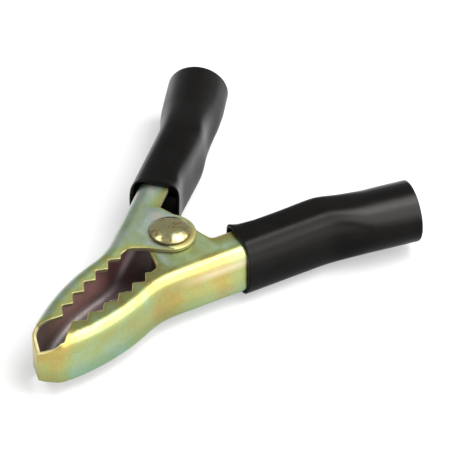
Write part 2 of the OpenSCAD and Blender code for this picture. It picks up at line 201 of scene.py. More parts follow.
# yellow zinc plating: a thin film, gold along the cut edges, then green and blue-grey, in soft patches, with painted
# shade and painted highlights laid over it
# stops named across run from the middle of the back to the wall, along from the nose to the handle, up from below
# noises are scale, detail, roughness and distortion, bumps are distance and strength, sizes on the clip are in mm
platingLook = {"patch": (80, 2.0, 0.5, 0.6), "cloud": (230, 3.0, 0.6, 0.3), "grain": (2600, 2.0),
               "cloudBump": (0.0002, 0.06), "grainBump": (0.00004, 0.12), "roughness": (0.31, 0.43), "dulled": 0.18,
               "lengthRange": (-43, 20), "patchHalf": 0.25, "backShift": 0.26, "wallShift": 0.14, "goldWide": 0.19,
               "backFade": (0.30, 0.50), "wallFade": (0.42, 0.50), "rimFade": (0.04, 0.22), "cutFade": (0.18, 0.30),
               # the web level darkens the middle of the back: painted shade
               "webShade": (0.16, 0.30, 0.86, 1.0), "cloudDepth": (0.95, 1.05), "grainDepth": (0.93, 1.07),
               "film": [(0.05, (0.62, 0.49, 0.15)), (0.20, (0.58, 0.54, 0.19)), (0.36, (0.52, 0.56, 0.21)),
                        (0.52, (0.48, 0.59, 0.28)), (0.66, (0.48, 0.61, 0.40)), (0.78, (0.51, 0.61, 0.53)),
                        (0.92, (0.61, 0.55, 0.47))],
               # the inside colours darken the channel's inside, lighter along its bends mid-mouth: painted shade and
               # painted highlight
               "insideShadeFilm": [(0.0, (0.50, 0.29, 0.25)), (0.20, (0.46, 0.27, 0.25)), (0.33, (0.40, 0.34, 0.34)),
                              (0.46, (0.25, 0.23, 0.21))],
               "insideShadeAlong": [(0.0, (0.36, 0.44, 0.42)), (0.14, (0.42, 0.47, 0.45)), (0.27, (0.92, 0.92, 0.92)),
                               (0.38, (0.88, 0.82, 0.84)), (0.52, (1.0, 0.84, 0.92)), (0.74, (0.34, 0.31, 0.30))],
               # the bend level darkens the upper part of the bend, under the lamp's highlight: painted shade
               "bendShade": [(0.24, 1.0), (0.31, 0.92), (0.38, 0.76), (0.44, 0.70), (0.50, 1.0)],
               # the groove colour darkens the inside bend towards the nose and the ear: painted shade
               "grooveAcross": [(0.22, 0.0), (0.30, 1.0), (0.36, 1.0), (0.44, 0.0)],
               "grooveAlong": [(0.04, 0.35), (0.16, 0.0), (0.26, 0.0), (0.37, 0.55)],
               "groove": (0.10, 0.08, 0.08, 1),
               # brown discolouration and painted shadow round the rivet and under the rivet head's rim
               "tarnishAndShadow": (0.30, 0.20, 0.12, 1), "tarnishShadowRing": (3.95, 4.75), "tarnishShadowShare": (0.6, 1.0),
               # the lower side is darkened and greyed: painted shade
               "lowShade": (-4.5, -0.5), "lowShadeTint": (0.52, 0.73, 0.84, 1),
               # the pale band is a painted highlight over the upper bend of the near handle
               "highlightUp": [(0.62, 0.0), (0.75, 0.55), (0.90, 0.0)], "pale": (0.95, 0.86, 0.56, 1),
               "blushAcross": [(0.10, 0.0), (0.19, 0.36), (0.27, 0.0)], "blush": (0.66, 0.51, 0.36, 1)}
nearLook = {"across": [(0.0, 0.34), (0.20, 0.34), (0.33, 0.30), (0.44, 0.40), (0.52, 0.62)], "edgeGold": 0.44,
            "along": [(0.0, 0.44), (0.10, 0.52), (0.20, 0.53), (0.36, 0.57), (0.50, 0.52), (0.62, 0.35),
                      (0.75, 0.26)],
            "depthAlong": [(0.0, 0.82), (0.12, 0.81), (0.20, 0.76), (0.45, 0.76), (0.60, 0.98)],
            "blushAlong": [(0.45, 0.0), (0.62, 1.0)],
            "highlightAlong": [(0.50, 0.0), (0.62, 1.0), (0.74, 1.0), (0.86, 0.1)],
            "edgeTint": (0.86, 0.77, 0.38, 1), "wallEdge": 1.0, "edgeDepth": 0.68, "cloudShift": 0.14}
# the far jaw's edge tint is the near one's colour at about half the brightness: painted shade on its cut edges
farLook = {"across": [(0.0, 0.60), (0.20, 0.66), (0.33, 0.80), (0.54, 0.74)], "edgeGold": 0.45,
           "along": [(0.0, 0.05), (0.06, 0.05), (0.12, 0.50)], "depthAlong": [(0.0, 1.0), (0.5, 1.0)],
           "blushAlong": [(0.0, 0.0), (1.0, 0.0)], "highlightAlong": [(0.0, 0.0), (1.0, 0.0)],
           "edgeTint": (0.46, 0.41, 0.23, 1), "wallEdge": 0.60, "edgeDepth": 1.1, "cloudShift": 0.15}


def platedSteel(name, look):
    material, tree, shader = newMaterial(name)
    where = addNode(tree, "ShaderNodeTexCoord").outputs["Object"]
    patch, cloud, grain = (noiseOn(tree, where, *platingLook[kind]) for kind in ("patch", "cloud", "grain"))
    fromBack, toEdge, inside, edge = (addNode(tree, "ShaderNodeAttribute", attribute_name=mark).outputs["Fac"]
                                      for mark in ("fromBack", "toEdge", "inside", "cutEdge"))
    split = addNode(tree, "ShaderNodeSeparateXYZ", {0: where}).outputs
    noseX, handleX = platingLook["lengthRange"]
    length = mapRange(tree, split["X"], noseX * mm, handleX * mm, 0.0, 1.0)

    def both(acrossStops, alongStops, across=fromBack):
        return maths(tree, "MULTIPLY", levels(tree, across, acrossStops), levels(tree, length, alongStops))

    def swing(noise, most, half=0.2):
        return spread(tree, noise, -most, most, half)

    # how thick the film is, and so its colour
    patchHalf = platingLook["patchHalf"]
    onBack = mapRange(tree, fromBack, *platingLook["backFade"], 1.0, 0.0)
    drift = maths(tree, "ADD", swing(patch, platingLook["backShift"], patchHalf),
                  maths(tree, "SUBTRACT", levels(tree, length, look["along"]), 0.5))
    film = levels(tree, fromBack, look["across"])
    for change in (maths(tree, "MULTIPLY", drift, onBack),
                   mapRange(tree, toEdge, 0.0, platingLook["goldWide"], -look["edgeGold"], 0.0),
                   swing(patch, platingLook["wallShift"], patchHalf), swing(cloud, look["cloudShift"])):
        film = maths(tree, "ADD", film, change)
    colour = colourStops(tree, film, platingLook["film"])
    blush = both(platingLook["blushAcross"], look["blushAlong"])
    colour = blendColours(tree, blush, colour, platingLook["blush"])

    # how bright it is, with painted shade over the middle of the back and over the upper part of the bend
    onWall = mapRange(tree, fromBack, *platingLook["wallFade"], 0.0, 1.0)
    nearRim = mapRange(tree, toEdge, *platingLook["rimFade"], look["edgeDepth"], 1.0)
    rimDepth = addNode(tree, "ShaderNodeMix", {0: onWall, 2: 1.0, 3: nearRim}).outputs[0]
    depth = levels(tree, length, look["depthAlong"])
    for change in (spread(tree, cloud, *platingLook["cloudDepth"]),
                   mapRange(tree, fromBack, *platingLook["webShade"]),
                   levels(tree, fromBack, platingLook["bendShade"]),
                   spread(tree, grain, *platingLook["grainDepth"]), rimDepth):
        depth = maths(tree, "MULTIPLY", depth, change)
    colour = blendColours(tree, 1.0, colour, depth, "MULTIPLY")

    # painted shade: darker and greyer towards the lower side; painted highlight: paler along the upper bend of the
    # near handle
    lowEnd, lowStart = platingLook["lowShade"]
    lowShade = mapRange(tree, split["Z"], pivot.z + lowEnd * mm, pivot.z + lowStart * mm, 1.0, 0.0)
    colour = tinted(tree, lowShade, colour, platingLook["lowShadeTint"])
    pale = both(platingLook["highlightUp"], look["highlightAlong"], heightOn(tree, where, wallZ))
    colour = blendColours(tree, pale, colour, platingLook["pale"])

    # brown discolouration and painted shadow round the rivet, under its head
    fromRivet = addNode(tree, "ShaderNodeVectorMath", {0: where, 1: pivot}, operation="SUBTRACT").outputs[0]
    fromRivet = addNode(tree, "ShaderNodeVectorMath", {0: fromRivet, 1: (1, 1, 0)}, operation="MULTIPLY").outputs[0]
    fromRivet = addNode(tree, "ShaderNodeVectorMath", {0: fromRivet}, operation="LENGTH").outputs["Value"]
    close, clear = platingLook["tarnishShadowRing"]
    stainAndShadow = maths(tree, "MULTIPLY", mapRange(tree, fromRivet, close * mm, clear * mm, 1.0, 0.0),
                  spread(tree, cloud, *platingLook["tarnishShadowShare"]))
    colour = tinted(tree, stainAndShadow, colour, platingLook["tarnishAndShadow"])

    # painted shade on the inside, lighter along the inside of the bends mid-mouth as a painted highlight, with
    # deeper painted shade in the groove of the bend towards the nose and the ear, and bare on the cut edges
    insideShade = blendColours(tree, 1.0, colourStops(tree, fromBack, platingLook["insideShadeFilm"]),
                        colourStops(tree, length, platingLook["insideShadeAlong"]), "MULTIPLY")
    groove = both(platingLook["grooveAcross"], platingLook["grooveAlong"])
    insideShade = blendColours(tree, groove, insideShade, platingLook["groove"])
    colour = blendColours(tree, inside, colour, insideShade)
    cutDepth = mapRange(tree, fromBack, *platingLook["cutFade"], 1.0, look["wallEdge"])
    colour = blendColours(tree, edge, colour, blendColours(tree, 1.0, look["edgeTint"], cutDepth, "MULTIPLY"))
    tree.links.new(colour, shader.inputs["Base Color"])
    dulled = maths(tree, "MULTIPLY", maths(tree, "MAXIMUM", inside, edge), platingLook["dulled"])
    rough = maths(tree, "ADD", spread(tree, cloud, *platingLook["roughness"]), dulled)
    tree.links.new(rough, shader.inputs["Roughness"])
    normal = bumpFrom(tree, cloud, *platingLook["cloudBump"])
    tree.links.new(bumpFrom(tree, grain, *platingLook["grainBump"], normal), shader.inputs["Normal"])
    shader.inputs["Metallic"].default_value = 1.0
    return material


# one pressing: a sheet bent to a channel, with a closed nose, teeth, pivot ears and a handle, in millimetres
jaw = {"sheet": 0.8, "channelWide": 11.8, "bendRadius": 2.4, "reach": 39.25, "lipGap": 0.04,
       "noseAngle": 56, "noseRadius": 3.0, "noseHigh": 4.0, "noseRun": 3.25, "backHeight": 7.75, "backX": 18.0,
       "waistRadius": 16.0, "teeth": 6, "noseLong": 8.95, "toothDeep": 1.65, "lastTooth": 11.1,
       "toothGap": 3.1, "firstGap": 1.1, "lipHigh": 2.8, "lipLow": 4.3, "plateLow": 5.0,
       "windowRadius": 6.45, "windowY": 1.6, "wallFront": 4.9, "earRadius": 5.15, "earAngle": 59,
       "earBack": 4.5, "earGap": 0.1, "seatRadius": 6.25, "seatSlope": 2.2, "handleAngle": 22,
       "handleOff": 11.05, "handleLong": 29.5, "handleDeep": 6.5, "sleeveRelief": 0.5, "tabLong": 5.0,
       "tabSlot": 2.0, "sleeveStart": 11.2, "sleeveSlip": 1.8, "shank": 4.0, "shankClear": 0.06,
       "seatSoft": 4.2, "seatFade": 2.4, "windowSoft": 1.4, "notchRound": 1.1, "edgeRound": 0.16,
       "edgeCorner": 0.35, "toothRound": 0.34, "toothSteps": 4, "noseSteps": 12, "noseTurnSteps": 10, "earSteps": 36,
       "bendSteps": 10, "webSteps": (0.3, 0.6, 0.85, 0.96), "wallSteps": (0.25, 0.5, 0.75), "leastStep": 0.02,
       "bendMost": 0.6, "slopeLeast": 0.2, "slopeMost": 0.7, "seatLeast": 0.05, "seatMost": 0.85, "cornerMost": 0.4,
       "markLong": 16, "boreSides": 72, "boreLong": 30, "smoothAngle": 38}

wallZ = jaw["channelWide"] / 2
webFlat = wallZ - jaw["bendRadius"]
bendLong = jaw["bendRadius"] * math.pi / 2
lip = Vector((-jaw["reach"], jaw["lipGap"] / 2))


def arcRadius(d, h):
    return (d * d + h * h) / (2 * h)


backRadius = arcRadius(jaw["reach"] - jaw["noseRun"] - jaw["backX"], jaw["backHeight"] - jaw["noseHigh"])
backCentre = Vector((-jaw["backX"], jaw["backHeight"] - backRadius))
pitch = (jaw["reach"] - jaw["noseLong"] - jaw["lastTooth"]) / (jaw["teeth"] - 1)
toothCurve = arcRadius((jaw["teeth"] - 1.5) * pitch, jaw["toothGap"] - jaw["firstGap"])


def touchArc(p, a, side, r, c, d):
    q = p + side * r * leftOf(a) - c
    b = q.dot(along(a))
    return q + c + (-b + math.sqrt(b * b - q.dot(q) + d * d)) * along(a)


noseCentre = touchArc(lip, jaw["noseAngle"], -1, jaw["noseRadius"], backCentre,
                      backRadius - jaw["noseRadius"])
handlePoint = jaw["handleOff"] * leftOf(jaw["handleAngle"])
waistCentre = touchArc(handlePoint, jaw["handleAngle"], 1, jaw["waistRadius"], backCentre,
                       backRadius + jaw["waistRadius"])
noseTurn = slopeTo(backCentre, noseCentre)
waistTurn = slopeTo(backCentre, waistCentre)
noseStart = (noseCentre - lip).dot(along(jaw["noseAngle"]))
waistEnd = (waistCentre - handlePoint).dot(along(jaw["handleAngle"]))


def onHandle(s, n):
    return s * along(jaw["handleAngle"]) + n * leftOf(jaw["handleAngle"])


edgeN = jaw["handleOff"] - jaw["handleDeep"]
hiddenN = edgeN + jaw["sleeveRelief"]


def tipX(i):
    return -jaw["lastTooth"] - pitch * (jaw["teeth"] - 1 - i)


def tipY(x):
    return (jaw["toothGap"] - toothCurve
            + math.sqrt(toothCurve ** 2 - (x + jaw["lastTooth"] + pitch / 2) ** 2))


toothEdge = [Vector((tipX(i / 2), tipY(tipX(i / 2)) + (i % 2) * jaw["toothDeep"]))
             for i in range(2 * jaw["teeth"] - 1)]
wallCorner = Vector((tipX(0) - jaw["wallFront"], tipY(tipX(0)) + jaw["wallFront"] / 2))
windowZ = jaw["lipHigh"] + math.sqrt(jaw["windowRadius"] ** 2 - jaw["windowY"] ** 2)
earTouch = jaw["earRadius"] * -Vector((math.sin(math.radians(jaw["earAngle"])),
                                       math.cos(math.radians(jaw["earAngle"]))))
earWay = Vector((-math.cos(math.radians(jaw["earAngle"])), math.sin(math.radians(jaw["earAngle"]))))
earFront = earTouch + (jaw["toothGap"] - earTouch[1]) / earWay[1] * earWay
notch = Vector((jaw["earBack"], (edgeN + jaw["earBack"] * math.sin(math.radians(jaw["handleAngle"])))
                / math.cos(math.radians(jaw["handleAngle"]))))


# a station is one cross-section: point on the back, way out of it, wall edge, and where it is
def squareTo(e):
    a, w = slopeTo(backCentre, e), slopeTo(waistCentre, e)
    if a >= waistTurn:
        return (backCentre + backRadius * along(a), along(a), e, "behind")
    if w <= jaw["handleAngle"] - 90:
        return (waistCentre + jaw["waistRadius"] * along(w), -along(w), e, "behind")
    return backOfHandle(e.dot(along(jaw["handleAngle"])), e)


def backOfHandle(s, e):
    return (onHandle(s, jaw["handleOff"]), leftOf(jaw["handleAngle"]), e, "behind")


def softened(line, cut, pieces):
    # the outline with every corner rounded off and every straight cut in three
    out = [line[0]]
    for a, b, c in zip(line, line[1:], line[2:]):
        start = b + (a - b).normalized() * min(cut, jaw["cornerMost"] * (a - b).length)
        end = b + (c - b).normalized() * min(cut, jaw["cornerMost"] * (c - b).length)
        out += [mixed(out[-1], start, k / 3) for k in (1, 2)]
        for k in range(pieces + 1):
            t = k / pieces
            out.append(mixed(mixed(start, b, t), mixed(b, end, t), t))
    out += [mixed(out[-1], line[-1], k / 3) for k in (1, 2, 3)]
    return out


def jawStations():
    nose = leftOf(jaw["noseAngle"])
    rows = [(lip + u / jaw["noseSteps"] * noseStart * along(jaw["noseAngle"]), nose, wallCorner,
             "nose" if u else "lip") for u in range(jaw["noseSteps"] + 1)]
    for i in range(1, jaw["noseTurnSteps"]):
        a = mixed(jaw["noseAngle"] + 90, noseTurn, i / jaw["noseTurnSteps"])
        rows.append((noseCentre + jaw["noseRadius"] * along(a), along(a), wallCorner, "nose"))
    half = jaw["toothDeep"] / 2
    mouth = [wallCorner] + toothEdge + [
        Vector((-jaw["lastTooth"] + half, jaw["toothGap"] + half)),
        Vector((earFront[0] - half, jaw["toothGap"] + half)), earFront]
    rows += [squareTo(e) for e in softened(mouth, jaw["toothRound"], jaw["toothSteps"])]
    slopeR = jaw["seatRadius"] + jaw["seatSlope"]
    earEdge = [earTouch + math.sqrt(r * r - jaw["earRadius"] ** 2) * earWay for r in (slopeR, jaw["seatRadius"])]
    last = 360 + math.degrees(math.acos(jaw["earBack"] / jaw["earRadius"]))
    earEdge += [jaw["earRadius"] * along(mixed(270 - jaw["earAngle"], last, i / jaw["earSteps"]))
                for i in range(jaw["earSteps"] + 1)]
    notchS = notch.dot(along(jaw["handleAngle"])) + jaw["notchRound"]
    before, after = notch - Vector((0, jaw["notchRound"])), onHandle(notchS, edgeN)
    earEdge += [mixed(mixed(before, notch, t), mixed(notch, after, t), t) for t in (0, 0.25, 0.5, 0.75)]
    for i, e in enumerate(earEdge):
        rows.append(backOfHandle(mixed(waistEnd, notchS, (i + 1) / (len(earEdge) + 1)), e))
    tabS = jaw["handleLong"] - jaw["tabLong"]
    slotN = jaw["handleOff"] - jaw["bendRadius"] - jaw["sheet"] / 4
    flareS = jaw["sleeveStart"] + jaw["sleeveSlip"] - jaw["sheet"] / 2
    slotS = tabS - jaw["tabSlot"]
    outline = [(notchS, edgeN), (flareS, edgeN), (flareS + 2 * jaw["sheet"], hiddenN), (slotS, hiddenN),
               (slotS + jaw["sheet"] / 4, slotN), (tabS - jaw["sheet"] / 4, slotN),
               (tabS, hiddenN), (jaw["handleLong"], hiddenN)]
    return rows + [backOfHandle(s, onHandle(s, n)) for s, n in outline]


# lengths over the sheet, from the middle of the back round the bend and down the wall
def wallRoot(row):
    return row[0] - jaw["bendRadius"] * row[1]


def reachTo(d):
    r = jaw["bendRadius"]
    return webFlat + (r * math.acos(1 - d / r) if d < r else bendLong + d - r)


def reachUp(z):
    return z if z < webFlat else webFlat + jaw["bendRadius"] * math.asin(min(1, (z - webFlat) / jaw["bendRadius"]))


def openEdge(y):
    return windowZ - math.sqrt(max(0, jaw["windowRadius"] ** 2 - (y + jaw["windowY"]) ** 2))


def closedEdge(y):
    return mixed(jaw["lipLow"], jaw["plateLow"], eased(2 * y / jaw["noseRadius"]))


def reach(row, isOpen):
    if row[3] != "behind":
        y = row[0][1]
        long = reachUp(openEdge(y) if isOpen else closedEdge(y))
        # the window is rounded into the wall's front
        near = max(0, 1 - abs(long - cornerReach) / jaw["windowSoft"])
        return min(cornerReach, long) - near * near * jaw["windowSoft"] / 4
    d = (row[0] - row[2]).length
    return reachTo(d) if d < jaw["bendRadius"] else webFlat + bendLong + (row[2] - wallRoot(row)).length


cornerReach = reach(squareTo(wallCorner), True)


def crossing(row, r, most):
    # where on the wall a circle round the rivet begins, as a share of the wall
    p = wallRoot(row)
    d = row[2] - p
    b = p.dot(d)
    k = b * b - d.dot(d) * (p.dot(p) - r * r)
    if k < 0 or row[2].length > r:
        return most
    return min(most, (-b - math.sqrt(k)) / d.dot(d))


def places(row, isOpen):
    # where the mesh lines run: over the web, the bend and the wall, closest where the ear is lifted
    long = reach(row, isOpen)
    a = min(webFlat, long / 2)
    b = min(bendLong, jaw["bendMost"] * (long - a))
    c = long - a - b
    f = max(jaw["slopeLeast"], crossing(row, jaw["seatRadius"] + jaw["seatSlope"], jaw["slopeMost"]))
    g = max(crossing(row, jaw["seatRadius"], jaw["seatMost"]), f + jaw["seatLeast"])
    web = [a * k for k in jaw["webSteps"]]
    bend = [a + b * i / jaw["bendSteps"] for i in range(jaw["bendSteps"] + 1)]
    wall = [a + b + c * k for k in (f / 8, f / 2, f, *(mixed(f, g, t) for t in jaw["wallSteps"]), g)]
    steps, tail = web + bend + wall, long - jaw["edgeRound"]
    return [min(s, tail - jaw["leastStep"] * (len(steps) - k)) for k, s in enumerate(steps)], tail, long


def raised(q, w):
    # the ear is lifted over the other one, in a slope that fades out before the bend
    slope = eased((jaw["seatRadius"] + jaw["seatSoft"] - q.length) / jaw["seatSoft"])
    return (jaw["earGap"] + jaw["sheet"]) * slope * eased(w / jaw["seatFade"])


def trimmed(row, p):
    # the lip is cut off along the middle of the clip
    if row[3] != "lip":
        return p
    return p + (lip[1] - p[1]) / math.sin(math.radians(jaw["noseAngle"])) * along(jaw["noseAngle"])


def sectionPoint(row, l, inset, side):
    root = wallRoot(row)
    r = jaw["bendRadius"]
    w = l - webFlat - bendLong
    if l <= webFlat:
        p = trimmed(row, row[0] - inset * row[1])
        return (p[0], p[1], side * l)
    if w <= 0:
        t = (l - webFlat) / r
        p = trimmed(row, root + (r - inset) * math.cos(t) * row[1])
        return (p[0], p[1], side * (webFlat + (r - inset) * math.sin(t)))
    q = root + w * (row[2] - root).normalized()
    return (q[0], q[1], side * (wallZ - inset) + (raised(q, w) if side > 0 else 0))


def sectionLoop(row, openSide):
    # outside of the sheet from one wall edge to the other, round the cut edge, and back on the inside
    sheet, soft = jaw["sheet"], jaw["edgeRound"]
    corner = jaw["edgeCorner"] * soft
    loop = []

    def put(side, l, inset, isInside, isEdge, long):
        toEdge, fromBack = (long - l) / jaw["markLong"], l / jaw["markLong"]
        loop.append((sectionPoint(row, l, inset, side), isInside, isEdge, toEdge, fromBack))

    for side in (1, -1):
        steps, tail, long = places(row, side == openSide)
        other, _, otherLong = places(row, side != openSide)
        inset, face = (0, 0) if side > 0 else (sheet, 1)
        for l in reversed(other):
            put(-side, l, inset, face, 0, otherLong)
        put(side, 0, inset, face, 0, long)
        for l in steps:
            put(side, l, inset, face, 0, long)
        way = 1 if side > 0 else -1
        # each point of the rim: length, inset, inside mark and cut edge mark
        rim = [(tail, 0, 0, 0.4), (long - corner, corner, 0, 1), (long, soft, 0, 1),
               (long, sheet - soft, 0.3, 1), (long - corner, sheet - corner, 0.6, 1), (tail, sheet, 1, 0.3)]
        for l, inset, isInside, isEdge in rim[::way]:
            put(side, l, inset, isInside, isEdge, long)
    return loop, len(steps)


def buildJaw(name, turned, steel):
    points, marks = [], {"inside": [], "cutEdge": [], "toEdge": [], "fromBack": []}
    rows = jawStations()
    for row in rows:
        loop, count = sectionLoop(row, -1 if turned else 1)
        for place, *values in loop:
            points.append(clipPoint(place, turned))
            for mark, value in zip(marks.values(), values):
                mark.append(value)
    size = len(points) // len(rows)
    faces = []
    for i in range(len(rows) - 1):
        for k in range(size):
            a, b = i * size + k, i * size + (k + 1) % size
            faces.append((a, b, b + size, a + size))
    # the lip and the handle's end are closed from the outside of the sheet to the inside
    outer = 2 * count + 1
    pairs = [(k, 2 * outer + 5 - k) for k in range(outer)]
    pairs = [((size - k) % size, 2 * outer + 5 + k) for k in (3, 2, 1)] + pairs
    pairs += [(outer - 1 + k, outer + 6 - k) for k in (1, 2, 3)]
    for start in (0, (len(rows) - 1) * size):
        for (a, b), (c, d) in zip(pairs, pairs[1:]):
            faces.append((start + a, start + c, start + d, start + b))
    piece = meshPiece(name, points, faces, marks, jaw["smoothAngle"])
    piece.data.materials.append(steel)
    boreThrough(piece)
    return piece


def boreThrough(piece):
    # rivet hole through both ears
    bore = bmesh.new()
    radius = (jaw["shank"] / 2 + jaw["shankClear"]) * mm
    bmesh.ops.create_cone(bore, cap_ends=True, segments=jaw["boreSides"], radius1=radius, radius2=radius,
                          depth=jaw["boreLong"] * mm)
    bmesh.ops.translate(bore, verts=bore.verts, vec=pivot)
    mesh = bpy.data.meshes.new("bore")
    bore.to_mesh(mesh)
    bore.free()
    cutter = bpy.data.objects.new("bore", mesh)
    scene.collection.objects.link(cutter)
    modifier = piece.modifiers.new("bore", "BOOLEAN")
    modifier.operation, modifier.solver, modifier.object = "DIFFERENCE", "EXACT", cutter
    made = bpy.data.meshes.new_from_object(piece.evaluated_get(bpy.context.evaluated_depsgraph_get()))
    piece.modifiers.clear()
    piece.data = made
    made.set_sharp_from_angle(angle=math.radians(jaw["smoothAngle"]))
    bpy.data.objects.remove(cutter)


jawPieces = []
for name, node, body, turned, look in (("jawNear", "fixed_jaw", "fixed_half", True, nearLook),
                                       ("jawFar", "moving_jaw", "moving_half", False, farLook)):
    piece = buildJaw(name, turned, platedSteel(name + "Steel", look))
    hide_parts(node)
    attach(piece, body)
    jawPieces.append(piece)
print("jaws made:", [len(p.data.polygons) for p in jawPieces], "faces")


# rivet: turned round head, shank and formed tail, heights in millimetres from the middle of the channel
rivet = {"shank": 4.0, "head": 8.0, "rim": 0.55, "dome": 1.15, "tail": 6.6, "tailHigh": 1.0, "hollow": 0.6,
         "endPlay": 0.04, "edgeRound": 0.22, "sides": 96, "domeShare": 0.95, "domeSteps": 16, "rimSteps": 5,
         "tailTaper": 0.35, "tailBevel": (0.45, 0.7), "hollowEdge": [(0.3, 0.0), (0.42, 0.12), (0.58, 0.5)],
         "hollowFlat": 0.75, "smoothAngle": 40}
rivetLook = {"mottle": (430, 4.0, 0.65, 0.6), "spot": (900, 2.0, 0.6), "mottleBump": (0.0003, 0.10),
             "spotBump": (0.0001, 0.08), "roughness": (0.15, 0.27), "rimStainAndShadow": (-0.4, 0.1),
             "film": [(0.30, (0.12, 0.08, 0.06)), (0.42, (0.31, 0.25, 0.12)), (0.52, (0.43, 0.39, 0.18)),
                      (0.60, (0.37, 0.38, 0.22)), (0.70, (0.33, 0.24, 0.21))]}


def rivetSteel():
    material, tree, shader = newMaterial("rivetSteel")
    where = addNode(tree, "ShaderNodeTexCoord").outputs["Object"]
    mottle, spot = (noiseOn(tree, where, *rivetLook[kind]) for kind in ("mottle", "spot"))
    height = addNode(tree, "ShaderNodeSeparateXYZ", {0: where}).outputs["Z"]
    rimZ = wallZ + jaw["earGap"] + jaw["sheet"] + rivet["rim"]
    # the head darkens towards its lower rim: discolouration and painted shadow
    low, high = (pivot.z + (rimZ + d) * mm for d in rivetLook["rimStainAndShadow"])
    colour = tinted(tree, mapRange(tree, height, low, high, 1.0, 0.0), colourStops(tree, mottle, rivetLook["film"]),
                    platingLook["tarnishAndShadow"])
    tree.links.new(colour, shader.inputs["Base Color"])
    tree.links.new(spread(tree, spot, *rivetLook["roughness"]), shader.inputs["Roughness"])
    normal = bumpFrom(tree, mottle, *rivetLook["mottleBump"])
    tree.links.new(bumpFrom(tree, spot, *rivetLook["spotBump"], normal), shader.inputs["Normal"])
    shader.inputs["Metallic"].default_value = 1.0
    return material


def rivetOutline():
    headZ = wallZ + jaw["earGap"] + jaw["sheet"] + rivet["endPlay"]
    headR, shankR, tailR = rivet["head"] / 2, rivet["shank"] / 2, rivet["tail"] / 2
    tailZ, soft = headZ + rivet["tailHigh"], rivet["edgeRound"]
    ball = arcRadius(headR, rivet["dome"])
    centre = headZ + rivet["rim"] + rivet["dome"] - ball
    most, steps = math.asin(headR / ball) * rivet["domeShare"], rivet["domeSteps"]
    line = [(ball * math.sin(most * k / steps), centre + ball * math.cos(most * k / steps))
            for k in range(steps + 1)]
    domeEnd, edge = Vector(line[-1]), Vector((headR, headZ + rivet["rim"]))
    below = edge - Vector((0, soft))
    for k in range(1, rivet["rimSteps"] + 1):
        t = k / rivet["rimSteps"]
        line.append(tuple(mixed(mixed(domeEnd, edge, t), mixed(edge, below, t), t)))
    cut = chamfer * soft
    bevel, flat = rivet["tailBevel"]
    line += [(headR, headZ + soft), (headR - cut, headZ + cut), (headR - soft, headZ), (shankR, headZ),
             (shankR, -headZ), (tailR - soft, -headZ), (tailR - cut, -headZ - cut), (tailR, -headZ - soft),
             (tailR - rivet["tailTaper"], -tailZ + soft), (tailR - bevel, -tailZ + cut), (tailR - flat, -tailZ)]
    line += [(shankR - d, -tailZ + h) for d, h in rivet["hollowEdge"]]
    floorZ = -tailZ + rivet["hollow"]
    return line + [(shankR - rivet["hollowFlat"], floorZ), (0, floorZ)]


def buildRivet():
    line, sides = rivetOutline(), rivet["sides"]
    points = [pivot + Vector((r * math.cos(2 * math.pi * k / sides), r * math.sin(2 * math.pi * k / sides), z)) * mm
              for r, z in line for k in range(sides)]
    faces = [(i * sides + k, i * sides + (k + 1) % sides, (i + 1) * sides + (k + 1) % sides, (i + 1) * sides + k)
             for i in range(len(line) - 1) for k in range(sides)]
    piece = meshPiece("rivet", points, faces, {}, rivet["smoothAngle"])
    piece.data.materials.append(rivetSteel())
    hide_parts("pivot_rivet")
    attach(piece, "fixed_half")


buildRivet()
print("rivet turned")


# closing spring: wire wound round the rivet, with a leg inside each handle
spring = {"wire": 1.4, "coilClear": 0.35, "pitch": 1.085, "coilSide": 0.3, "legGap": 0.2, "legReach": 18.0,
          "legSteps": (0.06, 0.2, 0.4, 0.6, 0.8, 1.0), "stepsPerTurn": 36, "sides": 14, "smoothAngle": 50}
springLook = {"draw": (1500, 3.0, 0.6), "drawBump": (0.00005, 0.15), "roughness": (0.30, 0.45),
              "tone": [(0.35, (0.19, 0.185, 0.18)), (0.6, (0.30, 0.29, 0.28))]}


def springSteel():
    material, tree, shader = newMaterial("springSteel")
    where = addNode(tree, "ShaderNodeTexCoord").outputs["Object"]
    draw = noiseOn(tree, where, *springLook["draw"])
    tree.links.new(colourStops(tree, draw, springLook["tone"]), shader.inputs["Base Color"])
    tree.links.new(spread(tree, draw, *springLook["roughness"]), shader.inputs["Roughness"])
    tree.links.new(bumpFrom(tree, draw, *springLook["drawBump"]), shader.inputs["Normal"])
    shader.inputs["Metallic"].default_value = 1.0
    return material


def springPath():
    wire = spring["wire"]
    coilR = jaw["shank"] / 2 + spring["coilClear"] + wire / 2
    tip = onHandle(spring["legReach"], jaw["handleOff"] - jaw["sheet"] - spring["legGap"] - wire / 2)
    leave = slopeTo((0, 0), tip) + math.degrees(math.acos(coilR / tip.length))
    part = 1 - leave / 180
    room = jaw["channelWide"] - 2 * (jaw["sheet"] + spring["coilSide"]) - wire
    turns = math.floor(room / (spring["pitch"] * wire) - part) + part
    top = turns * spring["pitch"] * wire / 2
    steps = int(spring["stepsPerTurn"] * turns)
    leg = [mixed(coilR * along(leave), tip, u) for u in spring["legSteps"]]
    path = [(q[0], q[1], top) for q in reversed(leg)]
    for i in range(steps + 1):
        q = coilR * along(leave + 360 * turns * i / steps)
        path.append((q[0], q[1], mixed(top, -top, i / steps)))
    path += [(q[0], -q[1], -top) for q in leg]
    return path, top


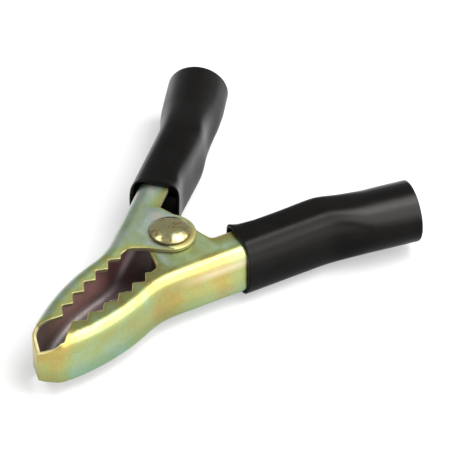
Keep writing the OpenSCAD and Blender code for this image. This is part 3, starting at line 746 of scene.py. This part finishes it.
def wireTree():
    tree = bpy.data.node_groups.new("springWire", "GeometryNodeTree")
    face = tree.interface
    face.new_socket("Path", in_out="INPUT", socket_type="NodeSocketGeometry")
    face.new_socket("Wire Radius", in_out="INPUT", socket_type="NodeSocketFloat")
    face.new_socket("Sides", in_out="INPUT", socket_type="NodeSocketInt")
    face.new_socket("Steel", in_out="INPUT", socket_type="NodeSocketMaterial")
    face.new_socket("Wire", in_out="OUTPUT", socket_type="NodeSocketGeometry")
    source = tree.nodes.new("NodeGroupInput").outputs
    curve = addNode(tree, "GeometryNodeMeshToCurve", {"Mesh": source["Path"]})
    ring = addNode(tree, "GeometryNodeCurvePrimitiveCircle", {"Resolution": source["Sides"],
                                                              "Radius": source["Wire Radius"]})
    tube = addNode(tree, "GeometryNodeCurveToMesh", {"Curve": curve.outputs[0], "Profile Curve": ring.outputs[0],
                                                     "Fill Caps": True})
    whole = addNode(tree, "GeometryNodeRealizeInstances", {"Geometry": tube.outputs[0]})
    painted = addNode(tree, "GeometryNodeSetMaterial", {"Geometry": whole.outputs[0], "Material": source["Steel"]})
    addNode(tree, "NodeGroupOutput", {"Wire": painted.outputs[0]})
    return tree


def buildSpring():
    path, top = springPath()
    line = bpy.data.meshes.new("springPath")
    line.from_pydata([pivot + Vector(p) * mm for p in path], [(i, i + 1) for i in range(len(path) - 1)], [])
    piece = bpy.data.objects.new("closingSpring", line)
    scene.collection.objects.link(piece)
    modifier = piece.modifiers.new("wire", "NODES")
    modifier.node_group = wireTree()
    sockets = {s.name: s.identifier for s in modifier.node_group.interface.items_tree if s.in_out == "INPUT"}
    modifier[sockets["Wire Radius"]] = spring["wire"] / 2 * mm
    modifier[sockets["Sides"]] = spring["sides"]
    modifier[sockets["Steel"]] = springSteel()
    made = bpy.data.meshes.new_from_object(piece.evaluated_get(bpy.context.evaluated_depsgraph_get()))
    piece.modifiers.clear()
    piece.data = made
    tidy = bmesh.new()
    tidy.from_mesh(made)
    bmesh.ops.recalc_face_normals(tidy, faces=tidy.faces)
    tidy.to_mesh(made)
    tidy.free()
    for face in made.polygons:
        face.use_smooth = True
    made.set_sharp_from_angle(angle=math.radians(spring["smoothAngle"]))
    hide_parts("torsion_spring")
    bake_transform(piece)


buildSpring()
print("spring wound")


# soft sleeve: squarish over the metal, round behind it, in millimetres along the handle from the rivet
sleeve = {"wall": 0.85, "clear": 0.1, "side": 0.25, "room": 0.95, "across": 12.6, "over": 0.5, "rear": 19.2,
          "bend": 9.0, "bendSoft": 4.0, "blend": 12.0, "flare": 0.8, "flareLong": 5.0, "standOff": 1.0,
          "rimRound": 0.3, "squareBack": (4.5, 2.9), "squareFree": (6.0, 4.4), "rimFlare": 0.45, "rimFlareLong": 2.6,
          "drawnIn": 0.35, "drawnAt": (6.0, 5.0), "lump": 0.12, "lumpAt": (-1.2, 6.5), "hollow": 0.55,
          "hollowAt": (6.5, 6.5), "hollowHigh": 0.3, "sides": 120, "smoothAngle": 60}
sleeveLook = {"tone": [(0.3, (0.0018, 0.0017, 0.0016)), (0.7, (0.0032, 0.0029, 0.0027))],
              "cloud": (160, 3.0, 0.55, 0.2), "grain": (5200, 2.0, 0.6), "cloudBump": (0.0006, 0.12),
              "grainBump": (0.00003, 0.25), "roughness": (0.27, 0.35), "halfHigh": 6.5,
              "shineTint": (1.0, 0.94, 0.90, 1),
              # these levels set a painted sheen by height
              "paintedSheen": [(0.12, 0.04), (0.50, 0.06), (0.66, 0.11), (0.80, 0.28), (0.90, 0.26), (1.0, 0.12)]}


def softPlastic():
    material, tree, shader = newMaterial("softPlastic")
    where = addNode(tree, "ShaderNodeTexCoord").outputs["Object"]
    cloud, grain = (noiseOn(tree, where, *sleeveLook[kind]) for kind in ("cloud", "grain"))
    tree.links.new(colourStops(tree, cloud, sleeveLook["tone"]), shader.inputs["Base Color"])
    tree.links.new(spread(tree, cloud, *sleeveLook["roughness"]), shader.inputs["Roughness"])
    normal = bumpFrom(tree, cloud, *sleeveLook["cloudBump"])
    tree.links.new(bumpFrom(tree, grain, *sleeveLook["grainBump"], normal), shader.inputs["Normal"])
    # painted sheen: more reflective along the upper shoulder and least on the lower side, set by height
    paintedSheen = levels(tree, heightOn(tree, where, sleeveLook["halfHigh"]), sleeveLook["paintedSheen"])
    tree.links.new(paintedSheen, shader.inputs["Specular IOR Level"])
    shader.inputs["Specular Tint"].default_value = sleeveLook["shineTint"]
    return material


sleeveOut, sleeveIn = jaw["handleOff"] + sleeve["clear"], hiddenN - sleeve["room"]
sleeveMid = (sleeveOut + sleeveIn) / 2
sleeveBend = jaw["handleLong"] + sleeve["over"]
boreR = sleeve["across"] / 2 - sleeve["wall"]


def bumpAt(s, middle, half):
    t = (s - middle) / half
    return (1 - t * t) ** 2 if abs(t) < 1 else 0.0


def sleeveRing(s, grow, slip, standOff):
    # one ring at length s, grown outwards from the inside of the tube
    t = eased((s - jaw["handleLong"]) / sleeve["blend"])
    turn = jaw["handleAngle"] + sleeve["bend"] * t
    u = max(0.0, min(1.0, (s - sleeveBend) / sleeve["bendSoft"] + 0.5))
    past = sleeve["bendSoft"] / 2 * u * u if u < 1 else s - sleeveBend
    centre = onHandle(s - past, sleeveMid) + past * along(jaw["handleAngle"] + sleeve["bend"])
    centre = centre + slip * along(jaw["handleAngle"])
    front, behind = s - jaw["sleeveStart"], s - jaw["handleLong"]
    flare = sleeve["flare"] * max(0, 1 - front / sleeve["flareLong"])
    halfZ = mixed(wallZ + sleeve["side"], boreR, t) + grow
    sides = {}
    for key, more in (("squareBack", standOff), ("squareFree", flare)):
        square = mixed(*sleeve[key], grow / sleeve["wall"])
        sides[key] = mixed((sleeveOut - sleeveIn) / 2 + more, boreR, t) + grow, 2 / mixed(square, 2.0, t)
    swell = sleeve["lump"] * bumpAt(behind, *sleeve["lumpAt"])
    swell -= sleeve["drawnIn"] * bumpAt(front, *sleeve["drawnAt"])
    swell += sleeve["rimFlare"] * max(0, 1 - front / sleeve["rimFlareLong"]) ** 2
    pull = sleeve["hollow"] * bumpAt(behind, *sleeve["hollowAt"])
    ring = []
    for k in range(sleeve["sides"]):
        a = 2 * math.pi * k / sleeve["sides"]
        halfN, power = sides["squareBack" if math.cos(a) > 0 else "squareFree"]
        n = math.copysign(abs(math.cos(a)) ** power, math.cos(a))
        z = math.copysign(abs(math.sin(a)) ** power, math.sin(a))
        corner = max(0.0, -n) * abs(z)
        p = centre + (halfN * n - swell * corner - pull * min(0, n)) * leftOf(turn)
        ring.append((p[0], p[1], (halfZ - sleeve["hollowHigh"] * pull) * z + math.copysign(swell * corner, z)))
    return ring


def sleeveProfile():
    # closed outline of the wall: along the outside, round the rear rim, back inside, round the front rim
    start, end = jaw["sleeveStart"], sleeveBend + sleeve["rear"]
    wall, soft = sleeve["wall"], sleeve["rimRound"]
    cut = chamfer * soft
    rim = [(soft * (1 - math.sin(math.radians(15 * k))), wall - soft * (1 - math.cos(math.radians(15 * k))))
           for k in range(7)]
    # rings are closest together at the front rim and at the bend
    steps = [start + soft + 0.5 * k for k in range(1, 7)]
    steps += [start + 4 + 1.2 * k for k in range(12)]
    steps += [jaw["handleLong"] - 1.0 + 0.5 * k for k in range(20)]
    steps += [end - 9.5, end - 6, end - 3, end - 1]
    line = [(start + d, g) for d, g in reversed(rim)] + [(s, wall) for s in steps]
    line += [(end - d, g) for d, g in rim] + [(end, soft), (end - cut, cut), (end - soft, 0)]
    line += [(s, 0) for s in reversed(steps)] + [(start + soft, 0), (start + cut, cut), (start, soft)]
    return line


def buildSleeve(name, node, body, turned, slip, standOff):
    line, sides = sleeveProfile(), sleeve["sides"]
    points = [clipPoint(p, turned) for s, grow in line for p in sleeveRing(s, grow, slip, standOff)]
    faces = [(i * sides + k, i * sides + (k + 1) % sides, (i + 1) % len(line) * sides + (k + 1) % sides,
              (i + 1) % len(line) * sides + k) for i in range(len(line)) for k in range(sides)]
    piece = meshPiece(name, points, faces, {}, sleeve["smoothAngle"])
    piece.data.materials.append(plastic)
    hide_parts(node)
    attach(piece, body)


plastic = softPlastic()
buildSleeve("sleeveNear", "fixed_sleeve", "fixed_half", True, 0.0, 0.0)
buildSleeve("sleeveFar", "moving_sleeve", "moving_half", False, jaw["sleeveSlip"], sleeve["standOff"])
print("sleeves pulled on")


# camera at the photograph's angle: eye is in millimetres from the rivet's middle
shot = {"eye": (-390.4, -336.9, 474.8), "azimuth": -50.426, "elevation": 42.133, "lens": 283.1, "sensor": 36.0,
        "clip": (0.01, 20)}


def makeCamera():
    data = bpy.data.cameras.new("photoCamera")
    data.lens, data.sensor_width, data.sensor_fit = shot["lens"], shot["sensor"], "HORIZONTAL"
    data.clip_start, data.clip_end = shot["clip"]
    camera = bpy.data.objects.new("photoCamera", data)
    scene.collection.objects.link(camera)
    camera.location = pivot + Vector(shot["eye"]) * mm
    camera.rotation_euler = (math.radians(90 - shot["elevation"]), 0, math.radians(shot["azimuth"]))
    scene.camera = camera


makeCamera()
print("camera placed")


# pale floor, white surround and soft lamps: place from the rivet and size in metres, power in watts
studio = {"floorColour": (0.80, 0.80, 0.80), "floorSize": 6.0, "floorDrop": 0.0002, "floorRough": 0.9,
          "floorGlow": 0.36, "surround": 0.50,
          "lamps": {"sideBox": ((0.32, -0.80, 0.68), 1.6, 24), "overRight": ((0.25, -0.30, 0.97), 0.50, 5.2),
                    "behindLeft": ((-0.33, 0.51, 0.88), 0.30, 2.2)}}


def makeStudio():
    mesh = bpy.data.meshes.new("floor")
    half = studio["floorSize"] / 2
    mesh.from_pydata([(-half, -half, 0), (half, -half, 0), (half, half, 0), (-half, half, 0)], [], [(0, 1, 2, 3)])
    floor = bpy.data.objects.new("floor", mesh)
    scene.collection.objects.link(floor)
    floor.location.z = cadBox[0].z - studio["floorDrop"]
    material, tree, shader = newMaterial("paleFloor")
    shader.inputs["Base Color"].default_value = (*studio["floorColour"], 1)
    shader.inputs["Roughness"].default_value = studio["floorRough"]
    # the background is white to the eye and in reflections, and the floor keeps its shadow
    ray = addNode(tree, "ShaderNodeLightPath").outputs
    seen = maths(tree, "ADD", ray["Is Camera Ray"], ray["Is Glossy Ray"])
    seen = maths(tree, "ADD", seen, ray["Is Transmission Ray"])
    share = maths(tree, "MULTIPLY", seen, studio["floorGlow"])
    glow = addNode(tree, "ShaderNodeEmission", {"Color": (1, 1, 1, 1), "Strength": 1.0}).outputs[0]
    both = addNode(tree, "ShaderNodeMixShader", {0: share, 1: shader.outputs[0], 2: glow}).outputs[0]
    tree.links.new(both, tree.nodes["Material Output"].inputs["Surface"])
    mesh.materials.append(material)
    world = bpy.data.worlds.new("surround")
    scene.world = world
    world.use_nodes = True
    base = world.node_tree.nodes["Background"]
    base.inputs["Color"].default_value = (1, 1, 1, 1)
    base.inputs["Strength"].default_value = studio["surround"]


def softLamp(name, place, size, power):
    data = bpy.data.lights.new(name, "AREA")
    data.shape, data.size, data.energy = "SQUARE", size, power
    lamp = bpy.data.objects.new(name, data)
    scene.collection.objects.link(lamp)
    lamp.location = pivot + Vector(place)
    lamp.rotation_euler = (-Vector(place)).to_track_quat("-Z", "Y").to_euler()


makeStudio()
for lampName, (place, size, power) in studio["lamps"].items():
    softLamp(lampName, place, size, power)
scene.view_settings.view_transform = "Standard"
print("studio ready")
